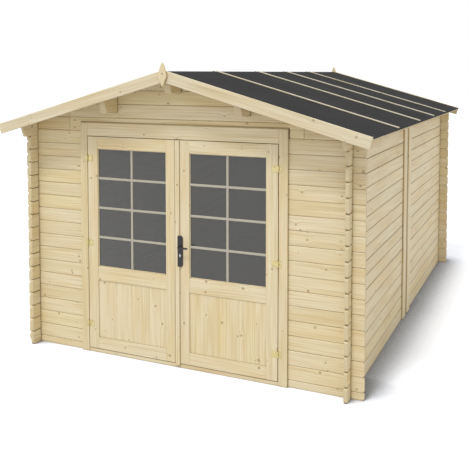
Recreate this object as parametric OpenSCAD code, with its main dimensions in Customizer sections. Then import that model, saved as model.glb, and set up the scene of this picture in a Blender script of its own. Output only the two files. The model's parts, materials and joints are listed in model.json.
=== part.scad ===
// Garden shed of planed logs that cross at the corners, with a double door under the front gable.
// Millimetres. +Z up, the door faces -Y, and the origin lies under the middle of the whole shed.

/* [Walls] */
// Width over the outer faces of the side walls
shed_width = 3000; // [2400:10:3700]
// Depth over the outer faces of the front and rear walls
shed_depth = 4480; // [3600:10:5400]
// Thickness of a wall log
log_t = 28; // [22:1:44]
// Height that one log adds to the wall
log_h = 121; // [100:1:146]
// Whole logs in a side wall, under the eaves log
wall_logs = 16; // [14:1:19]
// Height of the eaves log at its outer face
eaves_log_h = 146; // [110:1:190]
// How far a log end runs past the wall that it crosses
log_end = 105; // [60:1:150]
// Size of the cut on the corners of a log end
end_cut = 13; // [0:1:20]
// Width of the V between two logs
vee_w = 10; // [4:1:16]
// Depth of the V between two logs
vee_d = 4; // [2:1:7]
// Half the width of the gable piece that stands on the front or rear wall
gable_half_w = 1113; // [1040:1:1180]

/* [Boards over the side walls' joint] */
// Distance from the front wall's face to the middle of the two boards
joint_y = 2150; // [1500:10:2700]
// Width of one board
joint_board_w = 140; // [90:1:180]
// Thickness of one board
joint_board_t = 16; // [10:1:25]
// Gap between the two boards
joint_board_gap = 82; // [40:1:150]

/* [Roof] */
// Slope of the roof, in degrees
roof_pitch = 15.7; // [12:0.1:20]
// Reach of the roof boards past the side walls
eave_overhang = 204; // [120:1:400]
// Reach of the front bargeboard's face past the front wall
front_overhang = 250; // [150:1:400]
// Reach of the rear bargeboard's face past the rear wall
rear_overhang = 115; // [110:1:300]
// Thickness of the roof boards
roof_board_t = 17; // [12:1:28]
// Thickness of the felt
felt_t = 4; // [2:1:8]
// How far the felt laps past the roof boards at the eave
felt_lap = 6; // [0:1:20]
// Width of a batten that holds the felt
batten_w = 40; // [25:1:60]
// Thickness of a batten
batten_t = 10; // [6:1:20]
// Where each batten lies, as a share of the roof's length from the front
batten_places = [0.2, 0.41, 0.59, 0.765];
// How far a batten stops short of the eave
batten_stop = 12; // [4:1:120]
// How far a batten stops short of the ridge
batten_ridge_gap = 16; // [2:1:60]
// Width of a bargeboard, square to the slope
bargeboard_w = 95; // [70:1:150]
// Thickness of a bargeboard
bargeboard_t = 18; // [12:1:28]
// How far a bargeboard stands above the felt
bargeboard_rise = 8; // [0:1:30]
// Height of a finial
finial_h = 205; // [120:1:300]
// Width of a finial
finial_w = 80; // [50:1:120]
// Height of a finial's widest point over its lower tip
finial_belly = 92; // [70:1:110]
// How far a finial's upper tip stands above the bargeboards
finial_rise = 62; // [30:1:110]
// Fullness of a finial's upper curve, where 1 is a plain quarter round
finial_fullness = 0.8; // [0.6:0.05:1.2]
// How far a finial's upper curve is drawn in
finial_waist = 0.15; // [0:0.01:0.3]

/* [Purlins] */
// Width of a purlin
purlin_w = 62; // [40:1:80]
// Depth of a purlin under the roof boards
purlin_d = 160; // [110:1:190]
// Distance from the ridge to the middle of a side purlin
purlin_x = 629; // [450:1:800]
// How far the lower edge of a purlin's or eaves log's end is cut back
tail_cut = 62; // [0:1:80]

/* [Floor] */
// Height of a floor bearer
bearer_h = 40; // [30:1:70]
// Width of a floor bearer
bearer_w = 45; // [35:1:80]
// Number of floor bearers
bearer_count = 9; // [5:1:12]
// Thickness of the floor boards
floor_board_t = 18; // [14:1:28]

/* [Door frame] */
// Clear width between the frame's sides
door_clear_w = 1820; // [1500:5:1900]
// Thickness of the frame's sides and head, inside the wall
lining_t = 42; // [30:1:50]
// Width of the frame's face on the wall
casing_w = 75; // [60:1:90]
// How far the frame stands out of the wall, outside and inside
casing_t = 20; // [12:1:30]
// Height of the frame's head
head_h = 116; // [90:1:140]
// How far the stop behind the leaves stands out of the frame
stop_w = 15; // [10:1:25]
// Gap at each end of the gable's logs
gable_end_gap = 2.5; // [0.3:0.1:6]
// Gap left above the frame for the logs to settle
settle_gap = 6; // [5:1:30]
// Gap beside the frame in the gable piece
settle_side = 8; // [2:1:15]
// Height of the threshold under the leaves
threshold_h = 33; // [20:1:40]
// How far the threshold stands back from the frame's face
threshold_back = 5; // [5:1:15]

/* [Door leaves] */
// Thickness of a leaf
leaf_t = 40; // [30:1:50]
// Gap round a leaf
leaf_gap = 5; // [5:0.5:10]
// Gap between the two leaves
meeting_gap = 7.5; // [7.5:0.5:12]
// Distance from the middle of the door to the right leaf's meeting edge
meeting_x = 18; // [0:1:40]
// Distance from the middle of the door to the glass and panel of both leaves
light_inner_x = 112; // [95:1:140]
// Width of the upright at a leaf's hinges
hinge_stile_w = 101; // [80:1:140]
// Height of the bottom rail
bottom_rail_h = 107; // [80:1:150]
// Height of the lower panel
panel_h = 516; // [300:1:600]
// Height of the rail between panel and glass
middle_rail_h = 125; // [90:1:160]
// Height of the top rail
top_rail_h = 107; // [80:1:150]
// Thickness of the lower panel
panel_t = 16; // [10:1:24]
// How far the panel stands back from the leaf's face
panel_back = 6; // [2:1:12]
// Thickness of the glass
glass_t = 4; // [3:1:8]
// How far the glass stands back from the leaf's face
glass_back = 16; // [8:1:24]
// Width of the strip on the right leaf's meeting edge
strip_w = 40; // [30:1:60]
// Thickness of that strip
strip_t = 12; // [8:1:16]
// How far the strip hangs below the leaf
strip_drop = 13; // [0:1:20]

/* [Hinges] */
// Heights of the three hinges' middles
hinge_z = [260, 995, 1755];
// Height of a hinge
hinge_h = 54; // [40:1:90]
// Width of the plate on the leaf, from the pin
leaf_plate_w = 52; // [35:1:70]
// Width of the plate on the frame, from the pin
frame_plate_w = 27; // [20:1:45]
// Thickness of the plates
hinge_plate_t = 2.5; // [2:0.5:4]
// Diameter of the knuckles
knuckle_d = 13; // [10:0.5:18]
// Diameter of the pin
pin_d = 8; // [5:0.5:9]

/* [Handle] */
// Distance of the lever's spindle from the right leaf's meeting edge
spindle_in = 46; // [40:1:80]
// Height of the lever's spindle
spindle_z = 1048; // [900:1:1100]
// Width of the handle plate
handle_plate_w = 46; // [34:1:52]
// Height of the handle plate
handle_plate_h = 265; // [180:1:300]
// Height of the spindle over the middle of the plate
spindle_rise = 40; // [0:1:90]
// Thickness of the handle plate
handle_plate_t = 9; // [5:1:14]
// Distance from the leaf's face to the middle of the lever
lever_out = 52; // [40:1:70]
// Length of the lever, from its spindle to its tip
lever_l = 92; // [80:1:130]
// Diameter of the lever
lever_d = 16; // [12:1:20]
// Diameter of the lever's neck in the plate
neck_d = 20; // [16:1:24]
// Diameter of the spindle
spindle_d = 10; // [8:1:12]

/* [Clearances] */
// Clearance on each side of a notch or at a seat
fit = 0.3; // [0.1:0.1:1]
// Clearance round a pin or neck that turns
running = 0.05; // [0.02:0.01:0.1]
// Clearance between two knuckles of a hinge
knuckle_gap = 0.4; // [0.2:0.1:1]
// Clearance between a hinge's barrel and the leaf's face
barrel_gap = 0.5; // [0.3:0.1:1]
// Clearance between a hinge's barrel and its plates
plate_gap = 1.5; // [1:0.5:3]
// Room round the spindle inside the leaf
spindle_room = 5; // [3:1:8]

/* [Hidden] */
$fn = 48;

pine = "#dcc9a0";
pine_shade = "#cdb98f";
felt_grey = "#45454a";
glass_grey = "#5f6064";
hinge_brass = "#cdbb77";
handle_black = "#2a2a2d";

// Places along the shed. Everything that counts in its length is balanced about Y = 0.
front_reach = front_overhang + bargeboard_t;
rear_reach = rear_overhang + bargeboard_t;
front_y = (front_reach - shed_depth - rear_reach) / 2;
rear_y = front_y + shed_depth;
roof_front_y = front_y - front_overhang + bargeboard_t;
roof_rear_y = rear_y + rear_overhang - bargeboard_t;

// Places across the shed
wall_x = shed_width / 2;
room_x = wall_x - log_t;
end_x = wall_x + log_end;
opening_x = door_clear_w / 2 + lining_t + fit;
casing_x = door_clear_w / 2 + casing_w;

// Heights. The front and rear walls begin with half a log, so their joints lie between the side walls'.
side_top_z = wall_logs * log_h;
gable_z = side_top_z + log_h / 2;
eaves_z = side_top_z + eaves_log_h;
pitch_tan = tan(roof_pitch);
roof_slope_l = (wall_x + eave_overhang) / cos(roof_pitch);
ridge_z = eaves_z + wall_x * pitch_tan;
frame_top_z = gable_z - fit - lining_t + head_h;
head_z = gable_z - fit - lining_t;
floor_z = bearer_h + floor_board_t;
all_joints = ceil((ridge_z - log_h / 2) / log_h);
// Each crossing log is notched by a quarter of its height, above and below
notch_d = log_h / 4;

// Places on the leaves
leaf_z = threshold_h + leaf_gap;
leaf_top_z = head_z - leaf_gap;
hinge_edge_x = door_clear_w / 2 - leaf_gap;
panel_z = leaf_z + bottom_rail_h;
glass_z = panel_z + panel_h + middle_rail_h;
glass_top_z = leaf_top_z - top_rail_h;
light_outer_x = hinge_edge_x - hinge_stile_w;
leaf_front_y = front_y - casing_t;
pin_x = door_clear_w / 2 - leaf_gap / 2;
pin_y = leaf_front_y - knuckle_d / 2 - barrel_gap;
knuckle_h = hinge_h / 3;
spindle_x = spindle_in - meeting_x;
plate_z = spindle_z - spindle_rise;

// Layers of the roof, square to the slope from the boards' underside
felt_n = roof_board_t;
batten_n = felt_n + felt_t;
barge_top_n = batten_n + bargeboard_rise;

// A point of the right slope: s down the slope from the ridge, n square to it
function on_slope(s, n) = [
    s * cos(roof_pitch) + n * sin(roof_pitch),
    ridge_z - s * sin(roof_pitch) + n * cos(roof_pitch)
];

// A point of the right slope over a given x, n square to the slope
function over_x(x, n) = [x, ridge_z - x * pitch_tan + n / cos(roof_pitch)];

// The two sides and the bottom of a V at height z, on a face at y whose inside lies towards dir
function vee(y, z, dir) = [[y, z - vee_w / 2], [y + dir * vee_d, z], [y, z + vee_w / 2]];

// Outline across a wall's thickness, with a V on both faces at each joint
function wall_profile(joints, top) = concat(
    [[0, 0]],
    [for (z = joints) if (z + vee_w < top) each vee(0, z, 1)],
    [[0, top], [log_t, top]],
    [for (i = [len(joints) - 1:-1:0]) if (joints[i] + vee_w < top)
        each [for (p = [2:-1:0]) vee(log_t, joints[i], -1)[p]]],
    [[log_t, 0]]
);

// Stacked log ends at x, with their corners cut, from the ground up to top
function end_outline(x, dir, joints, top) = concat(
    [[x - dir * end_cut, 0], [x, end_cut]],
    [for (z = joints) if (z + end_cut < top)
        each [[x, z - end_cut], [x - dir * end_cut, z], [x, z + end_cut]]],
    [[x, top]]
);

function reversed(list) = [for (i = [len(list) - 1:-1:0]) list[i]];

cross_joints = [for (k = [0:all_joints]) (k + 0.5) * log_h];
side_joints = [for (k = [1:wall_logs - 1]) k * log_h];

// Moves what follows to the other side of the shed
module on_side(side) {
    if (side > 0) children();
    else mirror([1, 0, 0]) children();
}

// Extrudes an outline drawn in X and Z along Y
module along_y(y0, y1) {
    translate([0, y1, 0]) rotate([90, 0, 0]) linear_extrude(y1 - y0) children();
}

// Extrudes an outline drawn in Y and Z along X
module along_x(x0, x1) {
    translate([x0, 0, 0]) rotate([90, 0, 90]) linear_extrude(x1 - x0) children();
}

// A box between two corners
module block(low, high) {
    translate(low) cube(high - low);
}

// Logs of a front or rear wall inside an outline in X and Z, with the wall's outer face at y
module cross_logs(y) {
    intersection() {
        translate([0, y, 0]) along_y(-1, log_t + 1) children();
        translate([0, y, 0]) along_x(-end_x - 1, end_x + 1)
            polygon(wall_profile(cross_joints, ridge_z + 1));
    }
}

// Room for the side walls' logs where they cross the wall at y
module cross_notches(y) {
    for (k = [0:wall_logs]) {
        z = k * log_h;
        block([room_x - fit, y - 1, z + notch_d], [wall_x + fit, y + log_t + 1, z + log_h - notch_d]);
    }
}

// Half of the roof's underside, as a line that the gable logs stop at
function under_roof(x) = over_x(x, -fit);

// Right part of the front wall, beside the doorway
module front_wall_part() {
    difference() {
        cross_logs(front_y) polygon(concat(
            [[opening_x, 0]],
            end_outline(end_x, 1, cross_joints, under_roof(end_x)[1]),
            [under_roof(gable_half_w), [gable_half_w, gable_z], [opening_x, gable_z]]
        ));
        cross_notches(front_y);
    }
}

module front_wall_left() {
    color(pine) on_side(-1) front_wall_part();
}

module front_wall_right() {
    color(pine) on_side(1) front_wall_part();
}

// Hole for a purlin through a gable piece
module purlin_hole(x) {
    translate([x - purlin_w / 2 - fit, ridge_z - abs(x) * pitch_tan - purlin_d - fit])
        square([purlin_w + 2 * fit, 2 * purlin_d]);
}

// Outline of the logs between the wall and the roof, with the purlins' holes
module gable_outline() {
    half = gable_half_w - gable_end_gap;
    difference() {
        polygon([
            [-half, gable_z], [half, gable_z], under_roof(half),
            under_roof(0), [-half, under_roof(half)[1]]
        ]);
        for (x = [-purlin_x, 0, purlin_x]) purlin_hole(x);
    }
}

module front_gable() {
    color(pine_shade) cross_logs(front_y) difference() {
        gable_outline();
        translate([-casing_x - settle_side, 0])
            square([2 * (casing_x + settle_side), frame_top_z + settle_gap]);
    }
}

module rear_gable() {
    color(pine_shade) cross_logs(rear_y - log_t) gable_outline();
}

module rear_wall() {
    right_end = concat(
        end_outline(end_x, 1, cross_joints, under_roof(end_x)[1]),
        [under_roof(gable_half_w), [gable_half_w, gable_z]]
    );
    left_end = [for (p = right_end) [-p[0], p[1]]];
    color(pine) difference() {
        cross_logs(rear_y - log_t) polygon(concat(right_end, reversed(left_end)));
        cross_notches(rear_y - log_t);
        mirror([1, 0, 0]) cross_notches(rear_y - log_t);
    }
}

// Room for the front and rear walls' logs where they cross a side wall
module side_notches() {
    for (y = [front_y, rear_y - log_t], k = [0:wall_logs])
        block([room_x - 1, y - fit, k * log_h - notch_d], [wall_x + 1, y + log_t + fit, k * log_h + notch_d]);
}

// Right side wall, up to the eaves log
module side_wall_part() {
    front_end = end_outline(front_y - log_end, -1, side_joints, side_top_z - end_cut);
    rear_end = end_outline(rear_y + log_end, 1, side_joints, side_top_z - end_cut);
    top = [
        [rear_y + log_end - end_cut, side_top_z],
        [front_y - log_end + end_cut, side_top_z]
    ];
    difference() {
        intersection() {
            along_x(room_x - 1, wall_x + 1) polygon(concat(rear_end, top, reversed(front_end)));
            translate([room_x, 0, 0]) along_y(front_y - log_end - 1, rear_y + log_end + 1)
                polygon(wall_profile(side_joints, side_top_z));
        }
        side_notches();
    }
}

module left_wall() {
    color(pine) on_side(-1) side_wall_part();
}

module right_wall() {
    color(pine) on_side(1) side_wall_part();
}

// Side view of a beam from bargeboard to bargeboard, with its ends cut back underneath
module beam_side(low_z, high_z) {
    y0 = roof_front_y + fit;
    y1 = roof_rear_y - fit;
    polygon([
        [y0 + tail_cut, low_z], [y1 - tail_cut, low_z],
        [y1, high_z], [y0, high_z]
    ]);
}

module eaves_log_part() {
    inner_top = under_roof(room_x);
    difference() {
        intersection() {
            along_x(room_x - 1, wall_x + 1) beam_side(side_top_z, inner_top[1]);
            along_y(roof_front_y, roof_rear_y) polygon([
                [room_x, side_top_z], [wall_x, side_top_z], under_roof(wall_x), inner_top
            ]);
        }
        for (y = [front_y, rear_y - log_t]) {
            y0 = y - fit;
            y1 = y + log_t + fit;
            block([room_x - 1, y0, side_top_z - 1], [wall_x + 1, y1, side_top_z + notch_d]);
            block([room_x - 1, y0, side_top_z + log_h - notch_d], [wall_x + 1, y1, ridge_z]);
        }
    }
}

module left_eaves_log() {
    color(pine_shade) on_side(-1) eaves_log_part();
}

module right_eaves_log() {
    color(pine_shade) on_side(1) eaves_log_part();
}

module joint_boards_part() {
    x1 = wall_x + joint_board_t;
    mid = front_y + joint_y;
    for (y = [mid - joint_board_gap / 2 - joint_board_w, mid + joint_board_gap / 2])
        along_y(y, y + joint_board_w)
            polygon([[wall_x, 0], [x1, 0], under_roof(x1), under_roof(wall_x)]);
}

module left_wall_joint_boards() {
    color(pine) on_side(-1) joint_boards_part();
}

module right_wall_joint_boards() {
    color(pine) on_side(1) joint_boards_part();
}

module ridge_purlin() {
    low = ridge_z - purlin_d;
    edge = under_roof(purlin_w / 2);
    color(pine_shade) intersection() {
        along_x(-purlin_w, purlin_w) beam_side(low, ridge_z);
        along_y(roof_front_y, roof_rear_y) polygon([
            [-purlin_w / 2, low], [purlin_w / 2, low], edge, under_roof(0), [-edge[0], edge[1]]
        ]);
    }
}

module purlin_part() {
    low = ridge_z - purlin_x * pitch_tan - purlin_d;
    inner = under_roof(purlin_x - purlin_w / 2);
    outer = under_roof(purlin_x + purlin_w / 2);
    intersection() {
        along_x(inner[0] - 1, outer[0] + 1) beam_side(low, inner[1]);
        along_y(roof_front_y, roof_rear_y)
            polygon([[inner[0], low], [outer[0], low], outer, inner]);
    }
}

module left_purlin() {
    color(pine_shade) on_side(-1) purlin_part();
}

module right_purlin() {
    color(pine_shade) on_side(1) purlin_part();
}

// One layer of the right slope, from the ridge down to s, between two heights square to the slope
module slope_layer(n0, n1, s, y0, y1) {
    along_y(y0, y1) polygon([over_x(0, n0), on_slope(s, n0), on_slope(s, n1), over_x(0, n1)]);
}

module roof_boards_left() {
    color(pine_shade) on_side(-1) slope_layer(0, roof_board_t, roof_slope_l, roof_front_y, roof_rear_y);
}

module roof_boards_right() {
    color(pine_shade) on_side(1) slope_layer(0, roof_board_t, roof_slope_l, roof_front_y, roof_rear_y);
}

module felt_part() {
    slope_layer(felt_n, felt_n + felt_t, roof_slope_l + felt_lap, roof_front_y, roof_rear_y);
}

module roof_felt_left() {
    color(felt_grey) on_side(-1) felt_part();
}

module roof_felt_right() {
    color(felt_grey) on_side(1) felt_part();
}

// Battens over the felt's seams
module battens_part() {
    length = roof_slope_l - batten_stop;
    for (share = batten_places) {
        y = roof_front_y + share * (roof_rear_y - roof_front_y);
        along_y(y - batten_w / 2, y + batten_w / 2) polygon([
            over_x(batten_ridge_gap, batten_n + fit), on_slope(length, batten_n + fit),
            on_slope(length, batten_n + batten_t), over_x(batten_ridge_gap, batten_n + batten_t)
        ]);
    }
}

module felt_battens_left() {
    color(pine) on_side(-1) battens_part();
}

module felt_battens_right() {
    color(pine) on_side(1) battens_part();
}

module bargeboard_part(y0) {
    slope_layer(barge_top_n - bargeboard_w, barge_top_n, roof_slope_l, y0, y0 + bargeboard_t);
}

module front_bargeboard_left() {
    color(pine) on_side(-1) bargeboard_part(roof_front_y - bargeboard_t);
}

module front_bargeboard_right() {
    color(pine) on_side(1) bargeboard_part(roof_front_y - bargeboard_t);
}

module rear_bargeboard_left() {
    color(pine) on_side(-1) bargeboard_part(roof_rear_y);
}

module rear_bargeboard_right() {
    color(pine) on_side(1) bargeboard_part(roof_rear_y);
}

// Lozenge with a slightly bowed upper half, standing on its lower tip
module finial_outline() {
    upper_h = finial_h - finial_belly;
    bowed = [for (i = [0:6]) let (t = i / 6, half = finial_w / 2 * cos(90 * t) ^ finial_fullness)
        [half * (1 - finial_waist * sin(180 * t)), finial_belly + upper_h * t]];
    polygon(concat([[0, 0]], bowed, [for (i = [5:-1:0]) [-bowed[i][0], bowed[i][1]]]));
}

module finial_at(y0) {
    tip_z = over_x(0, barge_top_n)[1] + finial_rise;
    along_y(y0, y0 + bargeboard_t) translate([0, tip_z - finial_h]) finial_outline();
}

module front_finial() {
    color(pine) finial_at(front_y - front_reach);
}

module rear_finial() {
    color(pine) finial_at(rear_y + rear_overhang);
}

module floor_bearers() {
    first = front_y + log_t + casing_t + bearer_w;
    last = rear_y - log_t - bearer_w;
    step = (last - first) / (bearer_count - 1);
    color(pine_shade) for (i = [0:bearer_count - 1]) {
        y = first + i * step;
        block([-room_x + fit, y - bearer_w / 2, 0], [room_x - fit, y + bearer_w / 2, bearer_h]);
    }
}

module floor_boards() {
    y0 = front_y + log_t + fit;
    color(pine) difference() {
        block([-room_x + fit, y0, bearer_h], [room_x - fit, rear_y - log_t - fit, floor_z]);
        block([-casing_x - fit, y0 - 1, 0], [casing_x + fit, y0 + casing_t + fit, floor_z + 1]);
    }
}

// Section through a side of the door frame, which holds the log ends between its two faces.
// x grows from the doorway into the wall, and y from the front to the inside.
module frame_section() {
    back = log_t + fit + casing_t;
    translate([0, -casing_t]) square([lining_t, casing_t + back]);
    translate([0, -casing_t]) square([casing_w, casing_t]);
    translate([0, back - casing_t]) square([casing_w, casing_t]);
    translate([-stop_w, leaf_t - casing_t + leaf_gap])
        square([stop_w + lining_t, back - leaf_t + casing_t - leaf_gap]);
}

module jamb_part() {
    translate([door_clear_w / 2, front_y, 0]) linear_extrude(frame_top_z) frame_section();
}

module door_jamb_left() {
    color(pine) on_side(-1) jamb_part();
}

module door_jamb_right() {
    color(pine) on_side(1) jamb_part();
}

// The head has the same section, turned. Behind the leaves it fits between the stops of the sides.
module door_head() {
    half = door_clear_w / 2 - fit;
    stop_half = half - stop_w;
    stop_y = leaf_t - casing_t + leaf_gap;
    back = log_t + fit + casing_t;
    color(pine) translate([0, front_y, head_z]) {
        block([-half, -casing_t, 0], [half, 0, head_h]);
        block([-half, -casing_t, 0], [half, stop_y, lining_t]);
        block([-stop_half, stop_y, -stop_w], [stop_half, back, lining_t]);
        block([-stop_half, back - casing_t, 0], [stop_half, back, head_h]);
    }
}

module door_threshold() {
    half = door_clear_w / 2 - fit;
    step_y = front_y + leaf_t - casing_t + leaf_gap;
    color(pine_shade) {
        block([-half, front_y - casing_t + threshold_back, 0], [half, step_y, threshold_h]);
        block([-half + stop_w, step_y, 0], [half - stop_w, front_y + log_t + fit + casing_t, floor_z]);
    }
}

// Frame of a leaf whose meeting edge stands at inner_x, drawn on the right
module leaf_frame_part(inner_x) {
    y0 = leaf_front_y;
    y1 = y0 + leaf_t;
    difference() {
        block([inner_x, y0, leaf_z], [hinge_edge_x, y1, leaf_top_z]);
        block([light_inner_x, y0 - 1, panel_z], [light_outer_x, y1 + 1, panel_z + panel_h]);
        block([light_inner_x, y0 - 1, glass_z], [light_outer_x, y1 + 1, glass_top_z]);
    }
}

module glass_part() {
    y0 = leaf_front_y + glass_back;
    block(
        [light_inner_x + fit, y0, glass_z + fit],
        [light_outer_x - fit, y0 + glass_t, glass_top_z - fit]
    );
}

module panel_part() {
    y0 = leaf_front_y + panel_back;
    block(
        [light_inner_x + fit, y0, panel_z + fit],
        [light_outer_x - fit, y0 + panel_t, panel_z + panel_h - fit]
    );
}

module left_leaf_frame() {
    color(pine) on_side(-1) leaf_frame_part(meeting_x + meeting_gap);
}

module left_leaf_glass() {
    color(glass_grey) on_side(-1) glass_part();
}

module left_leaf_panel() {
    color(pine) on_side(-1) panel_part();
}

module right_leaf_frame() {
    color(pine) difference() {
        leaf_frame_part(-meeting_x);
        translate([spindle_x, leaf_front_y - 1, spindle_z]) rotate([-90, 0, 0])
            cylinder(d = spindle_d + 2 * spindle_room, h = leaf_t + 2);
    }
}

module right_leaf_glass() {
    color(glass_grey) glass_part();
}

module right_leaf_panel() {
    color(pine) panel_part();
}

// Strip on the right leaf's meeting edge, cut away round the handle plate
module meeting_strip() {
    x1 = strip_w - meeting_x;
    y0 = leaf_front_y - strip_t;
    plate_x = spindle_x - handle_plate_w / 2 - fit;
    half_h = handle_plate_h / 2 + fit;
    color(pine) difference() {
        block([-meeting_x, y0, leaf_z - strip_drop], [x1, leaf_front_y, leaf_top_z]);
        block([plate_x, y0 - 1, plate_z - half_h], [x1 + 1, leaf_front_y + 1, plate_z + half_h]);
    }
}

// Plate of one hinge half: it stops clear of the barrel, and a neck joins it to its own knuckles
module hinge_plate(width, neck_z) {
    clear = knuckle_d / 2 + plate_gap;
    y0 = leaf_front_y - pin_y - hinge_plate_t;
    block([clear, y0, -hinge_h / 2], [width, y0 + hinge_plate_t, hinge_h / 2]);
    neck_h = knuckle_h - knuckle_gap;
    for (z = neck_z)
        block([0, y0, z - neck_h / 2], [clear + 1, y0 + hinge_plate_t, z + neck_h / 2]);
}

module knuckle(z) {
    translate([0, 0, z - knuckle_h / 2 + knuckle_gap / 2])
        cylinder(d = knuckle_d, h = knuckle_h - knuckle_gap);
}

// Frame half of a hinge on the right: plate, outer knuckles and pin
module frame_hinge() {
    hinge_plate(frame_plate_w, [-knuckle_h, knuckle_h]);
    knuckle(-knuckle_h);
    knuckle(knuckle_h);
    cylinder(d = pin_d, h = hinge_h - knuckle_gap, center = true);
}

// Leaf half of a hinge on the right: plate and the middle knuckle, bored for the pin
module leaf_hinge() {
    difference() {
        union() {
            mirror([1, 0, 0]) hinge_plate(leaf_plate_w, [0]);
            knuckle(0);
        }
        cylinder(d = pin_d + 2 * running, h = hinge_h, center = true);
    }
}

module at_hinges() {
    for (z = hinge_z) translate([pin_x, pin_y, z]) children();
}

module left_frame_hinges() {
    color(hinge_brass) on_side(-1) at_hinges() frame_hinge();
}

module right_frame_hinges() {
    color(hinge_brass) on_side(1) at_hinges() frame_hinge();
}

module left_leaf_hinges() {
    color(hinge_brass) on_side(-1) at_hinges() leaf_hinge();
}

module right_leaf_hinges() {
    color(hinge_brass) on_side(1) at_hinges() leaf_hinge();
}

// Handle plate with round ends, its back on the leaf, bored for the lever's neck
module handle_plate() {
    straight = handle_plate_h / 2 - handle_plate_w / 2;
    difference() {
        union() {
            for (z = [-straight, straight]) translate([spindle_x, 0, plate_z + z])
                rotate([-90, 0, 0]) cylinder(d = handle_plate_w, h = handle_plate_t);
            block(
                [spindle_x - handle_plate_w / 2, 0, plate_z - straight],
                [spindle_x + handle_plate_w / 2, handle_plate_t, plate_z + straight]
            );
        }
        translate([spindle_x, -1, spindle_z]) rotate([-90, 0, 0])
            cylinder(d = neck_d + 2 * running, h = handle_plate_t + 2);
    }
}

module handle_plates() {
    color(handle_black) {
        translate([0, leaf_front_y - handle_plate_t, 0]) handle_plate();
        translate([0, leaf_front_y + leaf_t, 0]) handle_plate();
    }
}

// One side of the lever: neck through the plate, bend, arm and round tip
module lever_side(dir) {
    face = dir * leaf_t / 2;
    turn = dir > 0 ? -90 : 90;
    translate([0, face, 0]) {
        rotate([turn, 0, 0]) translate([0, 0, fit])
            cylinder(d = neck_d, h = lever_out - lever_d / 2 - fit);
        translate([0, dir * lever_out, 0]) {
            sphere(d = lever_d);
            rotate([turn, 0, 0]) translate([0, 0, -lever_d]) cylinder(d = lever_d, h = lever_d);
            rotate([0, 90, 0]) cylinder(d = lever_d, h = lever_l - lever_d / 2);
            translate([lever_l - lever_d / 2, 0, 0]) sphere(d = lever_d);
        }
    }
}

module door_lever() {
    color(handle_black) translate([spindle_x, leaf_front_y + leaf_t / 2, spindle_z]) {
        lever_side(-1);
        lever_side(1);
        rotate([90, 0, 0]) cylinder(d = spindle_d, h = leaf_t + 2, center = true);
    }
}

floor_bearers();
floor_boards();
front_wall_left();
front_wall_right();
front_gable();
rear_wall();
rear_gable();
left_wall();
right_wall();
left_eaves_log();
right_eaves_log();
left_wall_joint_boards();
right_wall_joint_boards();
ridge_purlin();
left_purlin();
right_purlin();
roof_boards_left();
roof_boards_right();
roof_felt_left();
roof_felt_right();
felt_battens_left();
felt_battens_right();
front_bargeboard_left();
front_bargeboard_right();
rear_bargeboard_left();
rear_bargeboard_right();
front_finial();
rear_finial();
door_jamb_left();
door_jamb_right();
door_head();
door_threshold();
left_frame_hinges();
right_frame_hinges();
left_leaf_frame();
left_leaf_glass();
left_leaf_panel();
left_leaf_hinges();
right_leaf_frame();
right_leaf_glass();
right_leaf_panel();
right_leaf_hinges();
meeting_strip();
handle_plates();
door_lever();
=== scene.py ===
# %% [markdown]
# # A log shed with a double door
# The CAD frame gives every piece its place and true size. This lesson saws those plain solids into
# single logs and boards, gives each its own grain, and adds the small things that a joiner adds.
# Everything is in metres: +Z is up, and the door faces -Y.

import json
import math
import random

import bmesh
import bpy
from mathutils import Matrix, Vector


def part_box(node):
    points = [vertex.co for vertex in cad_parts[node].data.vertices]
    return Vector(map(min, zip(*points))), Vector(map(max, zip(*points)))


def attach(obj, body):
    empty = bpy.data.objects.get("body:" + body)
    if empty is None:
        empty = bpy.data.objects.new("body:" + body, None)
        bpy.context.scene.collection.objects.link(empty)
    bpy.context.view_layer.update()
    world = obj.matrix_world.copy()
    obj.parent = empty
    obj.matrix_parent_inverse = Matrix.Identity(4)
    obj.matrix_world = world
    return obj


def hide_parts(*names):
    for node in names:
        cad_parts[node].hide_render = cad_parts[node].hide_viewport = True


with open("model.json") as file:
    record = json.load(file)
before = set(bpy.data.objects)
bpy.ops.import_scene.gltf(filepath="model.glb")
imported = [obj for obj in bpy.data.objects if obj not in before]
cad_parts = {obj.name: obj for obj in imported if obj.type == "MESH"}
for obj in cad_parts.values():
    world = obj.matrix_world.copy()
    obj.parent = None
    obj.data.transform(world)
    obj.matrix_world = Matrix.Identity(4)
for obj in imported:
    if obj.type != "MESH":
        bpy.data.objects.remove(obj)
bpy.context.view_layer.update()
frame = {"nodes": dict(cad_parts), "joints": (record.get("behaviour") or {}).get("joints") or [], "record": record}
cad_nodes = frame["nodes"]
random.seed(11)

# %% [markdown]
# ## Camera
# The shed is seen from its right front corner, from above head height. Upright edges stay nearly
# upright, as in a picture made with a shift lens: the camera is almost level and its frame is moved
# down. The shift is as small as the framing allows.

# %% Place the camera
LENS_MM = 55.22
TILT_DOWN_DEG = 3.3

camera_data = bpy.data.cameras.new("camera")
camera_data.sensor_width = 36
camera_data.lens = LENS_MM
camera_data.shift_x = 0.0006
camera_data.shift_y = -0.2565
camera_data.clip_end = 200
camera = bpy.data.objects.new("camera", camera_data)
camera.location = (2.903, -7.492, 2.512)
camera.rotation_euler = (math.radians(90 - TILT_DOWN_DEG), 0, math.radians(24.125))
bpy.context.scene.collection.objects.link(camera)
bpy.context.scene.camera = camera
print("camera at", tuple(round(c, 2) for c in camera.location))

# %% [markdown]
# ## Colours and nodes
# A colour picker shows sRGB, but a renderer adds up light, which is linear. One function turns a hex
# colour into linear light. One small function adds a node with its settings and its links, so that a
# material reads as a short list. Three settings come back often and have names: SCALE multiplies
# numbers, TIMES multiplies colours, and FLAT noise has two dimensions, as a UV map does.

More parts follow.
